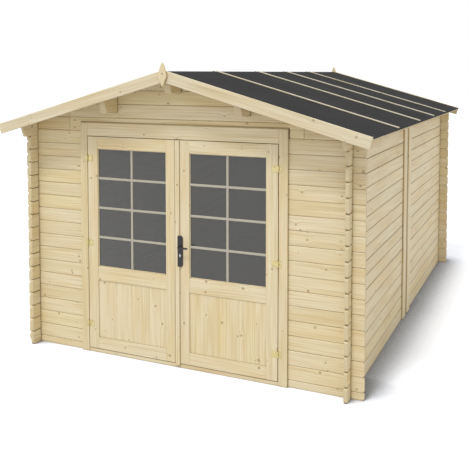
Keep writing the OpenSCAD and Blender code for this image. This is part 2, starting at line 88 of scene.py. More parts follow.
# %% Helpers for materials
SCALE = {"operation": "MULTIPLY"}
TIMES = {"data_type": "RGBA", "blend_type": "MULTIPLY"}
FLAT = {"noise_dimensions": "2D"}


def linear(hex_colour):
    """A hex sRGB colour as linear RGBA."""
    channels = [int(hex_colour[i : i + 2], 16) / 255 for i in (1, 3, 5)]
    rgb = [c / 12.92 if c <= 0.04045 else ((c + 0.055) / 1.055) ** 2.4 for c in channels]
    return (*rgb, 1.0)


def add(tree, kind, settings=None, inputs=None, out=0):
    """Adds a node. Inputs are values or other nodes' outputs. Returns one of its outputs."""
    node = tree.nodes.new("ShaderNode" + kind)
    for name, value in (settings or {}).items():
        setattr(node, name, value)
    for name, value in (inputs or {}).items():
        if isinstance(value, bpy.types.NodeSocket):
            tree.links.new(value, node.inputs[name])
        else:
            node.inputs[name].default_value = value
    return node.outputs[out]


def start_material(name, **values):
    """A material with one Principled shader and its plain values. Returns material, tree, shader."""
    material = bpy.data.materials.new(name)
    material.use_nodes = True
    tree = material.node_tree
    shader = tree.nodes["Principled BSDF"]
    for socket, value in values.items():
        shader.inputs[socket.replace("_", " ")].default_value = value
    return material, tree, shader


def stops(tree, factor, *pairs):
    """A colour ramp through (place, hex colour) pairs."""
    ramp = tree.nodes.new("ShaderNodeValToRGB")
    tree.links.new(factor, ramp.inputs[0])
    elements = ramp.color_ramp.elements
    while len(elements) < len(pairs):
        elements.new(0.5)
    for element, (place, colour) in zip(elements, pairs):
        element.position = place
        element.color = linear(colour)
    return ramp.outputs[0]


def bumps(tree, shader, height, distance_mm, strength=1.0):
    """Lets a height pattern tilt the surface."""
    inputs = {"Height": height, "Distance": distance_mm / 1000, "Strength": strength}
    tree.links.new(add(tree, "Bump", None, inputs), shader.inputs["Normal"])


print("the grey #808080 is", round(linear("#808080")[0], 3), "in linear light")

# %% [markdown]
# ## Planed spruce
# Untreated spruce is straw yellow, and a planer leaves it smooth but not shiny. The eye reads three
# scales: streaks of early and late wood along the board, slow warm patches, and small brown knots
# with a dark rim that the streaks bend round. Every board carries a UV map in metres, U along its
# grain and V across it, from a start of its own, so that no two boards share a pattern. A face
# attribute called tone holds one random number per board, and one called groove marks the V joints,
# where dust gathers and shade is painted in. Streaks are drawn 14 mm wide with hairs of 4 mm, coarser
# than year rings, so that they show from afar. Shade is painted into every crevice as well. Painting it
# by hand would take one mask per piece, so an Ambient Occlusion node finds the crevices within 18 mm and
# darkens them.

# %% Spruce along the grain
STREAK_MM = 14.0
HAIR_MM = 4.0
STREAK_LENGTH_MM = 700.0
KNOT_STEP_MM = (330.0, 75.0)
KNOT_MM = (4.5, 13.0)
# Colour of dust and painted shade in the V joints and on the log-end cuts.
GROOVE_DUST_AND_SHADE = "#7E6A48"
# Reach of the painted shade in crevices, in mm.
CREVICE_SHADE_MM = 18.0


def find_knots(tree, uv, knot_share):
    """One spot in each cell of the board: the distance from it, the cell's lot, and 1 if it is a knot."""
    step = (KNOT_STEP_MM[0] / 1000, KNOT_STEP_MM[1] / 1000, 0)
    cells_at = add(tree, "VectorMath", SCALE, {0: uv, 1: (1 / step[0], 1 / step[1], 1)})
    voronoi = tree.nodes.new("ShaderNodeTexVoronoi")
    voronoi.voronoi_dimensions = "2D"
    voronoi.inputs["Scale"].default_value = 1.0
    tree.links.new(cells_at, voronoi.inputs["Vector"])
    away = add(tree, "VectorMath", {"operation": "SUBTRACT"}, {0: cells_at, 1: voronoi.outputs["Position"]})
    away = add(tree, "VectorMath", SCALE, {0: away, 1: step})
    knot_distance = add(tree, "VectorMath", {"operation": "LENGTH"}, {0: away}, out=1)
    lottery = add(tree, "SeparateColor", None, {0: voronoi.outputs["Color"]})
    has_knot = add(tree, "Math", {"operation": "LESS_THAN"}, {0: lottery, 1: knot_share})
    return knot_distance, lottery, has_knot


def draw_grain(tree, uv, knot_distance, has_knot):
    """Streaks and hairs along the board that sway, and swell out round the knots."""
    swell = add(tree, "MapRange", {"interpolation_type": "SMOOTHSTEP"},
                {"Value": knot_distance, "From Max": 0.06, "To Min": 0.014, "To Max": 0.0})
    swell = add(tree, "Math", SCALE, {0: swell, 1: has_knot})

    sway_at = add(tree, "VectorMath", SCALE, {0: uv, 1: (0.8, 3.0, 1)})
    sway = add(tree, "TexNoise", FLAT, {"Vector": sway_at, "Scale": 1.0, "Detail": 1.0})
    across = add(tree, "SeparateXYZ", None, {0: uv}, out=1)
    across = add(tree, "Math", {"operation": "MULTIPLY_ADD"}, {0: sway, 1: 0.03, 2: across})
    across = add(tree, "Math", {"operation": "ADD"}, {0: across, 1: swell})
    along = add(tree, "SeparateXYZ", None, {0: uv}, out=0)
    bent = add(tree, "CombineXYZ", None, {0: along, 1: across})

    grain = []
    for width_mm in (STREAK_MM, HAIR_MM):
        place = add(tree, "VectorMath", SCALE, {0: bent, 1: (1000 / STREAK_LENGTH_MM, 1000 / width_mm, 1)})
        grain.append(add(tree, "TexNoise", FLAT, {"Vector": place, "Scale": 1.0, "Detail": 1.5}))
    return add(tree, "Mix", {"data_type": "FLOAT"}, {0: 0.6, 2: grain[0], 3: grain[1]})


def planed_spruce(name, early, late, knot_share):
    """Spruce with its grain along U. early and late are the wood of spring and of summer."""
    material, tree, shader = start_material(name, Roughness=0.6, Specular_IOR_Level=0.35)
    uv = add(tree, "UVMap", {"uv_map": "Grain"})
    knot_distance, lottery, has_knot = find_knots(tree, uv, knot_share)
    figure = draw_grain(tree, uv, knot_distance, has_knot)
    colour = stops(tree, figure, (0.34, late), (0.58, early), (0.75, early))

    tone = add(tree, "Attribute", {"attribute_name": "tone"}, out=2)
    board = stops(tree, tone, (0.0, "#F8F4EA"), (0.4, "#FFFFFF"), (0.75, "#FDFAF3"), (1.0, "#FFFCEF"))
    colour = add(tree, "Mix", TIMES, {0: 1.0, 6: colour, 7: board}, 2)
    patch_at = add(tree, "VectorMath", SCALE, {0: uv, 1: (1.6, 8.0, 1)})
    patch = add(tree, "TexNoise", FLAT, {"Vector": patch_at, "Scale": 1.0, "Detail": 1.0})
    patch = stops(tree, patch, (0.42, "#FFFFFF"), (0.68, "#FCF6EC"))
    colour = add(tree, "Mix", TIMES, {0: 1.0, 6: colour, 7: patch}, 2)

    small, large = (radius_mm / 1000 for radius_mm in KNOT_MM)
    span = {"Value": lottery, "From Max": knot_share, "To Min": small, "To Max": large}
    size = add(tree, "MapRange", None, span)
    from_centre = add(tree, "Math", {"operation": "DIVIDE"}, {0: knot_distance, 1: size})
    inside = add(tree, "MapRange", {"interpolation_type": "SMOOTHSTEP"},
                 {"Value": from_centre, "From Min": 0.75, "From Max": 1.15, "To Min": 0.65, "To Max": 0.0})
    inside = add(tree, "Math", SCALE, {0: inside, 1: has_knot})
    knot = stops(tree, from_centre, (0.1, "#8A6F48"), (0.3, "#A68B60"), (0.7, "#9A8057"), (0.95, "#745B3A"))
    colour = add(tree, "Mix", {"data_type": "RGBA"}, {0: inside, 6: colour, 7: knot}, 2)

    # Dust and painted shade in the V joints and on the log-end cuts, from the groove attribute.
    groove = add(tree, "Attribute", {"attribute_name": "groove"}, out=2)
    colour = add(tree, "Mix", {"data_type": "RGBA"}, {0: groove, 6: colour, 7: linear(GROOVE_DUST_AND_SHADE)}, 2)
    # Painted shade: an Ambient Occlusion node darkens the wood within reach of any crevice.
    reach = {"Distance": CREVICE_SHADE_MM / 1000}
    crevice_shade = add(tree, "AmbientOcclusion", {"samples": 12}, reach, out=1)
    crevice_shade = stops(tree, crevice_shade, (0.3, "#9E927D"), (0.6, "#DCD6CB"), (0.88, "#FFFFFF"))
    colour = add(tree, "Mix", TIMES, {0: 1.0, 6: colour, 7: crevice_shade}, 2)
    tree.links.new(colour, shader.inputs["Base Color"])
    bumps(tree, shader, figure, 0.4, 0.4)
    return material


spruce = planed_spruce("planed_spruce", "#E6DABB", "#D3C29B", 0.42)
roof_spruce = planed_spruce("planed_spruce_roof_boards", "#DED3B8", "#C9BB99", 0.45)
batten_spruce = planed_spruce("planed_spruce_battens", "#D3CDC0", "#C0B9A8", 0.3)
print("made", spruce.name, roof_spruce.name, "and", batten_spruce.name)

# %% [markdown]
# ## Sawn ends
# Across the grain the saw leaves open pores: the cut is matt and a little darker, with the year rings
# as curved bands. A ring texture about the heart of the tree gives them. Real rings are 3 mm apart
# and are drawn at 6 mm, so that they show.

# %% Spruce end grain
RING_MM = 6.0


def sawn_ends(name, early, late):
    """Year rings round a heart that lies beside the board."""
    material, tree, shader = start_material(name, Roughness=0.85, Specular_IOR_Level=0.2)
    uv = add(tree, "UVMap", {"uv_map": "Grain"})
    from_heart = add(tree, "VectorMath", {"operation": "LENGTH"}, {0: uv}, out=1)
    wobble = add(tree, "TexNoise", None, {"Vector": uv, "Scale": 25.0, "Detail": 1.0})
    turns = add(tree, "Math", {"operation": "MULTIPLY_ADD"}, {0: from_heart, 1: 1000 / RING_MM, 2: wobble})
    ring = add(tree, "Math", {"operation": "PINGPONG"}, {0: turns, 1: 0.5})
    colour = stops(tree, ring, (0.1, early), (0.5, late))
    tree.links.new(colour, shader.inputs["Base Color"])
    bumps(tree, shader, ring, 0.2, 0.3)
    return material


end_grain = sawn_ends("sawn_spruce_ends", "#D9CBA8", "#C4B08A")
print("made", end_grain.name)

# %% [markdown]
# ## Roofing felt
# The roof has mineral felt: a bitumen sheet pressed with slate grit, laid in strips under the
# battens. The grit makes it matt and a little lighter than black, with a fine speckle and slow
# cloudy patches from the mill. Real grit is 1 mm wide. It is drawn at 4 mm, so that it shows.

# %% Felt
GRIT_MM = 4.0


def mineral_felt(name, bitumen, slate):
    """Matt felt with slate grit."""
    material, tree, shader = start_material(name, Roughness=0.95, Specular_IOR_Level=0.04)
    place = add(tree, "TexCoord", out=3)
    grit = add(tree, "TexNoise", None, {"Vector": place, "Scale": 1000 / GRIT_MM, "Detail": 1.0})
    cloud = add(tree, "TexNoise", None, {"Vector": place, "Scale": 2.2, "Detail": 3.0})
    colour = stops(tree, grit, (0.35, bitumen), (0.7, slate))
    cloud = stops(tree, cloud, (0.35, "#EDEDED"), (0.65, "#FFFFFF"))
    colour = add(tree, "Mix", TIMES, {0: 1.0, 6: colour, 7: cloud}, 2)
    tree.links.new(colour, shader.inputs["Base Color"])
    bumps(tree, shader, grit, 0.8, 0.5)
    return material


felt = mineral_felt("mineral_felt", "#303030", "#3E3E3E")
print("made", felt.name)

# %% [markdown]
# ## Metal, plastic and glass
# The hinges are steel with yellow passivation, which leaves a pale brass colour with slow stains.
# The handle is steel with a black powder coat, and orange peel about 1.5 mm wide. The hinges' screws
# and the nails are galvanised, the long wood screws are phosphated, which turns steel dark, and the
# lock's cylinder is nickel plated. The glazing bars are flat beige plastic, with a fine grain pressed
# in. Metals keep the default IOR, and differ in colour and roughness.

# %% Metals and plastic
def stained_metal(name, base, stain, roughness, stain_mm):
    """Bare or passivated metal with slow stains and faint wear."""
    material, tree, shader = start_material(name, Metallic=1.0)
    place = add(tree, "TexCoord", out=3)
    cloud = add(tree, "TexNoise", None, {"Vector": place, "Scale": 1000 / stain_mm, "Detail": 3.0})
    tree.links.new(stops(tree, cloud, (0.35, base), (0.7, stain)), shader.inputs["Base Color"])
    span = {"Value": cloud, "To Min": roughness - 0.06, "To Max": roughness + 0.08}
    tree.links.new(add(tree, "MapRange", None, span), shader.inputs["Roughness"])
    return material


def pressed_skin(name, base, worn, roughness, grain_mm, depth_mm):
    """Powder coat or plastic with a fine uneven skin."""
    material, tree, shader = start_material(name, Roughness=roughness)
    place = add(tree, "TexCoord", out=3)
    skin = add(tree, "TexNoise", None, {"Vector": place, "Scale": 1000 / grain_mm, "Detail": 2.0})
    tree.links.new(stops(tree, skin, (0.35, base), (0.75, worn)), shader.inputs["Base Color"])
    bumps(tree, shader, skin, depth_mm, 0.5)
    return material


yellow_steel = stained_metal("yellow_passivated_steel", "#D9CA94", "#C2B078", 0.4, 14)
zinc_steel = stained_metal("galvanised_steel", "#B9B8B0", "#98968E", 0.45, 5)
dark_steel = stained_metal("phosphated_steel", "#5E5A50", "#47443D", 0.5, 5)
nickel = stained_metal("nickel_plate", "#D6D4CE", "#BDBAB2", 0.25, 8)
black_coat = pressed_skin("black_powder_coat", "#1D1D20", "#2A2A2D", 0.42, 1.5, 0.1)
bar_plastic = pressed_skin("beige_glazing_bar", "#B4AE9E", "#ACA695", 0.5, 6, 0.1)
hardware = (yellow_steel, zinc_steel, dark_steel, nickel, black_coat, bar_plastic)
print("made", *(material.name for material in hardware))

# %% [markdown]
# ## Window glass
# A 4 mm pane hardly bends what is behind it, so refraction isn't needed: a Transparent shader with a
# grey tint lets the room show, and a Glossy shader adds the reflection, more at a low angle by
# Fresnel. An IOR of 1.52 is usual for float glass. A film of dust, a Diffuse shader with a share of
# three tenths, greys the dark room behind, as on any pane in daylight.

# %% Glass
DUST_SHARE = (0.3, 0.31)


def float_glass(name, tint, haze):
    """A thin pane: see-through with a tint, and glossy by Fresnel."""
    material, tree, shader = start_material(name)
    tree.nodes.remove(shader)
    place = add(tree, "TexCoord", out=3)
    smear = add(tree, "TexNoise", None, {"Vector": place, "Scale": 5.0, "Detail": 3.0})
    clear = add(tree, "BsdfTransparent", None, {"Color": linear(tint)})
    dust = add(tree, "BsdfDiffuse", None, {"Color": linear(haze)})
    thin, thick = DUST_SHARE
    film = {"Value": smear, "From Min": 0.3, "From Max": 0.7, "To Min": thin, "To Max": thick}
    share = add(tree, "MapRange", None, film)
    body = add(tree, "MixShader", None, {0: share, 1: clear, 2: dust})
    mirror = add(tree, "BsdfGlossy", None, {"Color": (1, 1, 1, 1), "Roughness": 0.03})
    rim = add(tree, "Fresnel", None, {"IOR": 1.52})
    pane = add(tree, "MixShader", None, {0: rim, 1: body, 2: mirror})
    tree.links.new(pane, tree.nodes["Material Output"].inputs["Surface"])
    return material


glass = float_glass("float_glass", "#D2D1CD", "#6B6963")
print("made", glass.name)

# %% [markdown]
# ## Saws and a bench
# A CAD solid is one closed mesh. Bisect cuts it along a plane and the open rim is filled again, which
# is just what a saw does. Modelling each log by hand would work too, but sawing keeps every notch,
# groove and bevelled end that the frame already has.

# %% Take a solid, split it and saw it
X, Y, Z = Vector((1, 0, 0)), Vector((0, 1, 0)), Vector((0, 0, 1))


def cad_solid(node):
    """A CAD node's mesh with its triangles joined into flat faces."""
    solid = bmesh.new()
    solid.from_mesh(cad_nodes[node].data)
    bmesh.ops.remove_doubles(solid, verts=solid.verts, dist=2e-5)
    bmesh.ops.dissolve_limit(solid, angle_limit=math.radians(0.3), verts=solid.verts, edges=solid.edges)
    return solid


def loose_parts(solid):
    """The separate bodies in a mesh, each as its own bmesh."""
    solid.verts.index_update()
    seen, parts = set(), []
    for first in solid.verts:
        if first.index in seen:
            continue
        group, waiting = set(), [first]
        while waiting:
            vert = waiting.pop()
            if vert.index in group:
                continue
            group.add(vert.index)
            waiting.extend(edge.other_vert(vert) for edge in vert.link_edges)
        seen |= group
        part = solid.copy()
        others = [vert for vert in part.verts if vert.index not in group]
        bmesh.ops.delete(part, geom=others, context="VERTS")
        parts.append(part)
    return parts


def saw(solid, direction, place, gap=0.0):
    """Saws a mesh in two at a place along a direction, and closes both halves."""
    halves = []
    for side in (-1, 1):
        half = solid.copy()
        everything = [*half.verts, *half.edges, *half.faces]
        at = direction * (place + side * gap / 2)
        bmesh.ops.bisect_plane(half, geom=everything, dist=1e-5, plane_co=at, plane_no=direction,
                               clear_outer=side < 0, clear_inner=side > 0)
        rim = [edge for edge in half.edges if edge.is_boundary]
        bmesh.ops.edgeloop_fill(half, edges=rim)
        bmesh.ops.recalc_face_normals(half, faces=half.faces)
        halves.append(half)
    return halves


def saw_row(solid, direction, places, gap=0.0):
    """Saws a mesh into a row of boards, from low to high."""
    reach = [vert.co.dot(direction) for vert in solid.verts]
    boards = []
    for place in places:
        if min(reach) + 0.002 < place < max(reach) - 0.002:
            board, solid = saw(solid, direction, place, gap)
            boards.append(board)
    return [*boards, solid]


def plank(low, high):
    """A straight board between two corners."""
    board = bmesh.new()
    bmesh.ops.create_cube(board, size=1.0)
    for vert in board.verts:
        for axis in range(3):
            vert.co[axis] = high[axis] if vert.co[axis] > 0 else low[axis]
    return board


print("left wall:", len(loose_parts(cad_solid("left_wall"))), "body before sawing")

# %% [markdown]
# ## Grain for each board
# The bench joins a row of boards into one object. For every face it writes the Grain UV map: U runs
# along the grain and V square to it, both in metres, and on a sawn end both run from the heart of
# the tree. Each board gets its own start, its own tone and, on log walls, a mark of dust and painted
# shade in its V grooves, with one strength for the faces that look down, which get more painted
# shade, and one for those that look up. The slanting cuts at the log ends have painted shade marks of
# their own. A narrow Bevel modifier breaks the edges, because no real edge is sharp.

# %% Join boards into a piece
# Painted shade on the slanting log-end cuts: first for faces that look down, then for faces that look up.
CUT_SHADE_MARKS = (0.45, 0.15)
bodies = frame["record"]["behaviour"]["bodies"]
body_of = {node: body for body, members in bodies.items() for node in members}


def timber(name, boards, node=None, body=None, finish=spruce, slot="log_wood", edge_mm=1.5,
           grooves=(0.0, 0.0), tones=(0.0, 1.0)):
    """Makes one object from (board, grain direction) pairs. It stands for a CAD node, if named."""
    verts, faces, uvs, tone_of, groove_of, slot_of = [], [], [], [], [], []
    for board, grain in boards:
        grain = grain.normalized()
        side = grain.orthogonal().normalized()
        up = grain.cross(side)
        start = Vector((random.uniform(0, 60), random.uniform(0, 60)))
        middle = sum((vert.co for vert in board.verts), Vector()) / len(board.verts)
        heart = Vector((random.uniform(-0.03, 0.03), random.uniform(0.02, 0.07)))
        tone = random.uniform(*tones)
        first = len(verts)
        board.verts.index_update()
        board.normal_update()
        verts += [vert.co[:] for vert in board.verts]
        for face in board.faces:
            is_end = abs(face.normal.dot(grain)) > 0.8
            rise = face.normal.z
            # Faces that look down get the first strength, more painted shade, and faces that look up the second.
            marks = CUT_SHADE_MARKS if 0.3 < abs(face.normal.dot(grain)) < 0.8 else grooves
            mark = marks[0] if rise < 0 else marks[1]
            across = face.normal.cross(grain).normalized()
            faces.append([first + vert.index for vert in face.verts])
            for vert in face.verts:
                if is_end:
                    out = vert.co - middle
                    uvs.append((out.dot(side) - heart.x, out.dot(up) - heart.y))
                else:
                    uvs.append((vert.co.dot(grain) + start.x, vert.co.dot(across) + start.y))
            tone_of.append(tone)
            groove_of.append(mark if sum(grooves) and 0.3 < abs(rise) < 0.95 else 0.0)
            slot_of.append(1 if is_end else 0)
        board.free()
    mesh = bpy.data.meshes.new(name)
    mesh.from_pydata(verts, [], faces)
    mesh.uv_layers.new(name="Grain").data.foreach_set("uv", [c for uv in uvs for c in uv])
    mesh.attributes.new("tone", "FLOAT", "FACE").data.foreach_set("value", tone_of)
    mesh.attributes.new("groove", "FLOAT", "FACE").data.foreach_set("value", groove_of)
    mesh.materials.append(finish)
    mesh.materials.append(end_grain)
    mesh.polygons.foreach_set("material_index", slot_of)
    piece = finish_piece(name, mesh, node, body)
    bevel = piece.modifiers.new("edges", "BEVEL")
    bevel.width = edge_mm / 1000
    bevel.segments = 1
    bevel.angle_limit = math.radians(35)
    return piece


def finish_piece(name, mesh, node=None, body=None):
    """Puts a mesh in the scene on its body, in place of its CAD node."""
    piece = bpy.data.objects.new(name, mesh)
    bpy.context.scene.collection.objects.link(piece)
    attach(piece, body or body_of[node])
    if node:
        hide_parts(node)
    return piece


def dressed(node, grain, **options):
    """A CAD node as it is, with grain and broken edges. Each of its bodies is one board."""
    boards = [(part, grain) for part in loose_parts(cad_solid(node))]
    return timber(node + "_timber", boards, node, **options)


# %% [markdown]
# ## Log walls
# A log cabin wall is a stack of tongued logs with a V at each joint. Side logs join at whole
# log heights, and front and rear logs half a log higher, which is how the corners cross. The frame's
# walls have the grooves already, so it is enough to saw them at the bottom of each V.

# %% Saw the walls into logs
LOG_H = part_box("left_wall")[1][2] / 16
side_joints = [k * LOG_H for k in range(1, 22)]
cross_joints = [(k + 0.5) * LOG_H for k in range(22)]

logs = 0
# Joints in the side walls get strong dust and painted shade, those in the front and rear walls very little.
for node in ("left_wall", "right_wall"):
    boards = saw_row(cad_solid(node), Z, side_joints)
    logs += len(boards)
    timber(node + "_logs", [(board, Y) for board in boards], node, grooves=(0.75, 0.55))
for node in ("front_wall_left", "front_wall_right", "front_gable", "rear_wall", "rear_gable"):
    boards = saw_row(cad_solid(node), Z, cross_joints)
    logs += len(boards)
    timber(node + "_logs", [(board, X) for board in boards], node, grooves=(0.05, 0.0))
for node in ("left_eaves_log", "right_eaves_log"):
    dressed(node, Y)
for node in ("left_wall_joint_boards", "right_wall_joint_boards"):
    dressed(node, Z, edge_mm=2.5)
print(logs, "logs of", round(LOG_H * 1000), "mm")

# %% [markdown]
# ## Roof
# Purlins run the length of the shed. Boards lie across them from ridge to eave, felt covers the
# boards, and battens hold the felt's seams. Bargeboards close the ends of the roof, and a finial hides
# the joint at each peak. Roof wood is a little greyer than the walls, and the thin battens most of all.

# %% Purlins, boards, battens and bargeboards
PITCH = math.radians(15.7)
BOARD_W = 0.0925


def down_slope(node):
    """The direction down the roof on the side where a node lies."""
    low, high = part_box(node)
    side = 1 if low[0] + high[0] > 0 else -1
    return Vector((side * math.cos(PITCH), 0, -math.sin(PITCH)))


for node in ("ridge_purlin", "left_purlin", "right_purlin"):
    dressed(node, Y, edge_mm=3)
for side in ("left", "right"):
    node = "roof_boards_" + side
    low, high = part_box(node)
    count = round((high[1] - low[1]) / BOARD_W)
    places = [low[1] + (high[1] - low[1]) * k / count for k in range(1, count)]
    boards = saw_row(cad_solid(node), Y, places, gap=0.0008)
    boards = [(board, down_slope(node)) for board in boards]
    timber(node + "_sawn", boards, node, finish=roof_spruce, slot="roof_wood")
    node = "felt_battens_" + side
    dressed(node, down_slope(node), finish=batten_spruce, slot="roof_wood", edge_mm=2)
for end in ("front", "rear"):
    for side in ("left", "right"):
        node = f"{end}_bargeboard_{side}"
        dressed(node, down_slope(node), finish=roof_spruce, slot="roof_wood", edge_mm=2.5, tones=(0.3, 0.8))
for node in ("front_finial", "rear_finial"):
    dressed(node, Z, slot="roof_wood", edge_mm=3)
print(count, "roof boards a side")

# %% [markdown]
# ## Floor
# Planed boards lie on bearers. They are seen through the open door, and their ends behind the
# threshold.

# %% Floor boards and bearers
low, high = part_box("floor_boards")
count = round((high[0] - low[0]) / 0.096)
places = [low[0] + (high[0] - low[0]) * k / count for k in range(1, count)]
boards = saw_row(cad_solid("floor_boards"), X, places, gap=0.001)
timber("floor_boards_sawn", [(board, Y) for board in boards], "floor_boards", slot="floor_wood", edge_mm=2)
dressed("floor_bearers", X, slot="floor_wood")
print(len(boards), "floor boards")

# %% [markdown]
# ## Door frame and leaves
# The frame is dressed timber. Each leaf is joinery: uprights run the full height and rails fit between
# them, so a leaf can't be one block with one grain. The lower panel is glued from staves 86 mm wide.
# A log wall settles as it dries, so there is a gap above the door head, and a strip closes it.

# %% Door frame, leaf frames and panels
for node, grain in (("door_jamb_left", Z), ("door_jamb_right", Z), ("door_head", X), ("door_threshold", X)):
    dressed(node, grain, edge_mm=2)
dressed("meeting_strip", Z, edge_mm=2.5)
SETTLING_GAP = 0.0055
jamb_low, jamb_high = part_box("door_jamb_left")[0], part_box("door_jamb_right")[1]
head_low, head_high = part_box("door_head")
gap_low = (jamb_low[0] + 0.002, head_low[1] + 0.006, head_high[2])
gap_high = (jamb_high[0] - 0.002, head_low[1] + 0.02, head_high[2] + SETTLING_GAP)
timber("settling_gap_strip", [(plank(gap_low, gap_high), X)], body="shed", edge_mm=0.5)

FIT = 0.0003
for side in ("left", "right"):
    low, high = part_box(f"{side}_leaf_frame")
    glass_low, glass_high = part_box(f"{side}_leaf_glass")
    panel_low, panel_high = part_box(f"{side}_leaf_panel")
    x0, x1 = glass_low[0] - FIT, glass_high[0] + FIT
    levels = [low[2], panel_low[2] - FIT, panel_high[2] + FIT]
    levels += [glass_low[2] - FIT, glass_high[2] + FIT, high[2]]
    boards = [(plank(low, (x0, high[1], high[2])), Z), (plank((x1, low[1], low[2]), high), Z)]
    for bottom, top in zip(levels[::2], levels[1::2]):
        boards.append((plank((x0, low[1], bottom), (x1, high[1], top)), X))
    timber(f"{side}_leaf_joinery", boards, f"{side}_leaf_frame", edge_mm=1.2, tones=(0.2, 0.9))
    staves = [panel_low[0] + (panel_high[0] - panel_low[0]) * k / 8 for k in range(1, 8)]
    boards = saw_row(cad_solid(f"{side}_leaf_panel"), X, staves)
    timber(f"{side}_leaf_staves", [(board, Z) for board in boards], f"{side}_leaf_panel", edge_mm=0.4,
           tones=(0.1, 0.9))
print("leaf levels", [round(level, 3) for level in levels])

# %% [markdown]
# ## Beads and glazing bars
# A bead holds the glass in its rebate: a small moulding with mitred corners, on both faces. Its
# section is swept round the opening. The bars only lie on the glass, and cross it in 2 by 4 panes.

# %% Shapes of beads and bars
BEAD_W = 0.006
BAR_W, BAR_T = 0.021, 0.006


def mitred_ring(low, high, section):
    """Sweeps a closed section round a rectangle in X and Z. Section points are (inward, y)."""
    sides = []
    corners = ((0, 0), (1, 0), (1, 1), (0, 1))
    for k in range(4):
        ends = []
        for cx, cz in (corners[k], corners[(k + 1) % 4]):
            ring = []
            for inward, y in section:
                x = low[0] + inward if cx == 0 else high[0] - inward
                z = low[2] + inward if cz == 0 else high[2] - inward
                ring.append((x, y, z))
            ends.append(ring)
        side = bmesh.new()
        first, last = [[side.verts.new(point) for point in ring] for ring in ends]
        side.faces.new(first)
        side.faces.new(last)
        for i in range(len(section)):
            j = (i + 1) % len(section)
            side.faces.new((first[i], first[j], last[j], last[i]))
        bmesh.ops.recalc_face_normals(side, faces=side.faces)
        sides.append((side, X if k % 2 == 0 else Z))
    return sides


def bar(low, high, bulge, along):
    """A glazing bar with a flat back and a softly rounded front."""
    bar_mesh = bmesh.new()
    steps = 6
    rings = []
    for end in (low, high):
        ring = []
        for k in range(steps + 1):
            turn = math.pi * k / steps
            out = bulge * math.sin(turn) ** 0.6
            off = (low[along] + high[along]) / 2 - math.cos(turn) * (high[along] - low[along]) / 2
            point = [end[0], high[1] - out, end[2]]
            point[along] = off
            ring.append(bar_mesh.verts.new(point))
        rings.append(ring)
    bar_mesh.faces.new(rings[0])
    bar_mesh.faces.new(rings[1])
    for k in range(steps + 1):
        j = (k + 1) % (steps + 1)
        bar_mesh.faces.new((rings[0][k], rings[0][j], rings[1][j], rings[1][k]))
    bmesh.ops.recalc_face_normals(bar_mesh, faces=bar_mesh.faces)
    return bar_mesh


print("beads", round(BEAD_W * 1000), "mm and bars", round(BAR_W * 1000), "mm wide")


# %% Put the beads, bars and glass in
def plain_piece(name, parts, finish, body, node=None, bevel_mm=0.0):
    """Joins bmesh parts into one object of one finish, smooth but for its sharp edges."""
    whole = bpy.data.meshes.new(name)
    joined = bmesh.new()
    for part in parts:
        copy = bpy.data.meshes.new("part")
        part.to_mesh(copy)
        joined.from_mesh(copy)
        bpy.data.meshes.remove(copy)
        part.free()
    joined.to_mesh(whole)
    joined.free()
    whole.materials.append(finish)
    whole.shade_smooth()
    whole.set_sharp_from_angle(angle=math.radians(40))
    piece = finish_piece(name, whole, node, body)
    if bevel_mm:
        bevel = piece.modifiers.new("edges", "BEVEL")
        bevel.width = bevel_mm / 1000
        bevel.segments = 2
        bevel.angle_limit = math.radians(35)
    return piece


for side in ("left", "right"):
    low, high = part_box(f"{side}_leaf_glass")
    leaf_low, leaf_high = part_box(f"{side}_leaf_frame")
    front = leaf_low[1] + 0.009
    back = leaf_high[1] - 0.001
    outer = [(0, front), (BEAD_W * 0.6, front), (BEAD_W, front + 0.003), (BEAD_W, low[1]), (0, low[1])]
    inner = [(0, high[1]), (BEAD_W, high[1]), (BEAD_W, back - 0.004), (BEAD_W * 0.6, back), (0, back)]
    rings = mitred_ring(low, high, outer) + mitred_ring(low, high, inner)
    timber(f"{side}_glass_beads", rings, body=f"{side}_door", edge_mm=0.4, tones=(0.3, 0.6))
    x, half = (low[0] + high[0]) / 2, BAR_W / 2
    ends = (x - half, 0, low[2] + BEAD_W), (x + half, low[1], high[2] - BEAD_W)
    bars = [bar(*ends, BAR_T, 0)]
    for k in (1, 2, 3):
        z = low[2] + (high[2] - low[2]) * k / 4
        ends = (low[0] + BEAD_W, 0, z - half), (high[0] - BEAD_W, low[1], z + half)
        bars.append(bar(*ends, BAR_T * 0.9, 2))
    plain_piece(f"{side}_glazing_bars", bars, bar_plastic, f"{side}_door")
    cad_nodes[f"{side}_leaf_glass"].data.materials.clear()
    cad_nodes[f"{side}_leaf_glass"].data.materials.append(glass)
print("pane", round((high[0] - low[0]) / 2, 3), "by", round((high[2] - low[2]) / 4, 3))

# %% [markdown]
# ## Felt on the boards
# The frame's felt has the right shape, so it only needs its material. Nails hold each batten: round
# galvanised heads every 310 mm.

# %% Felt and batten nails
NAIL_STEP = 0.31


def disc(centre, normal, radius, height, sides):
    """A low round head with a domed top."""
    normal = normal.normalized()
    head = bmesh.new()
    a = normal.orthogonal().normalized()
    b = normal.cross(a)
    rings = []
    for reach, rise in ((1.0, 0.0), (1.0, 0.5), (0.72, 0.9)):
        ring = []
        for k in range(sides):
            turn = 2 * math.pi * k / sides
            out = (a * math.cos(turn) + b * math.sin(turn)) * radius * reach
            ring.append(head.verts.new(centre + out + normal * height * rise))
        rings.append(ring)
    head.faces.new(list(reversed(rings[0])))
    for lower, upper in zip(rings, rings[1:]):
        for k in range(sides):
            j = (k + 1) % sides
            head.faces.new((lower[k], lower[j], upper[j], upper[k]))
    top = head.verts.new(centre + normal * height)
    for k in range(sides):
        head.faces.new((rings[-1][k], rings[-1][(k + 1) % sides], top))
    return head


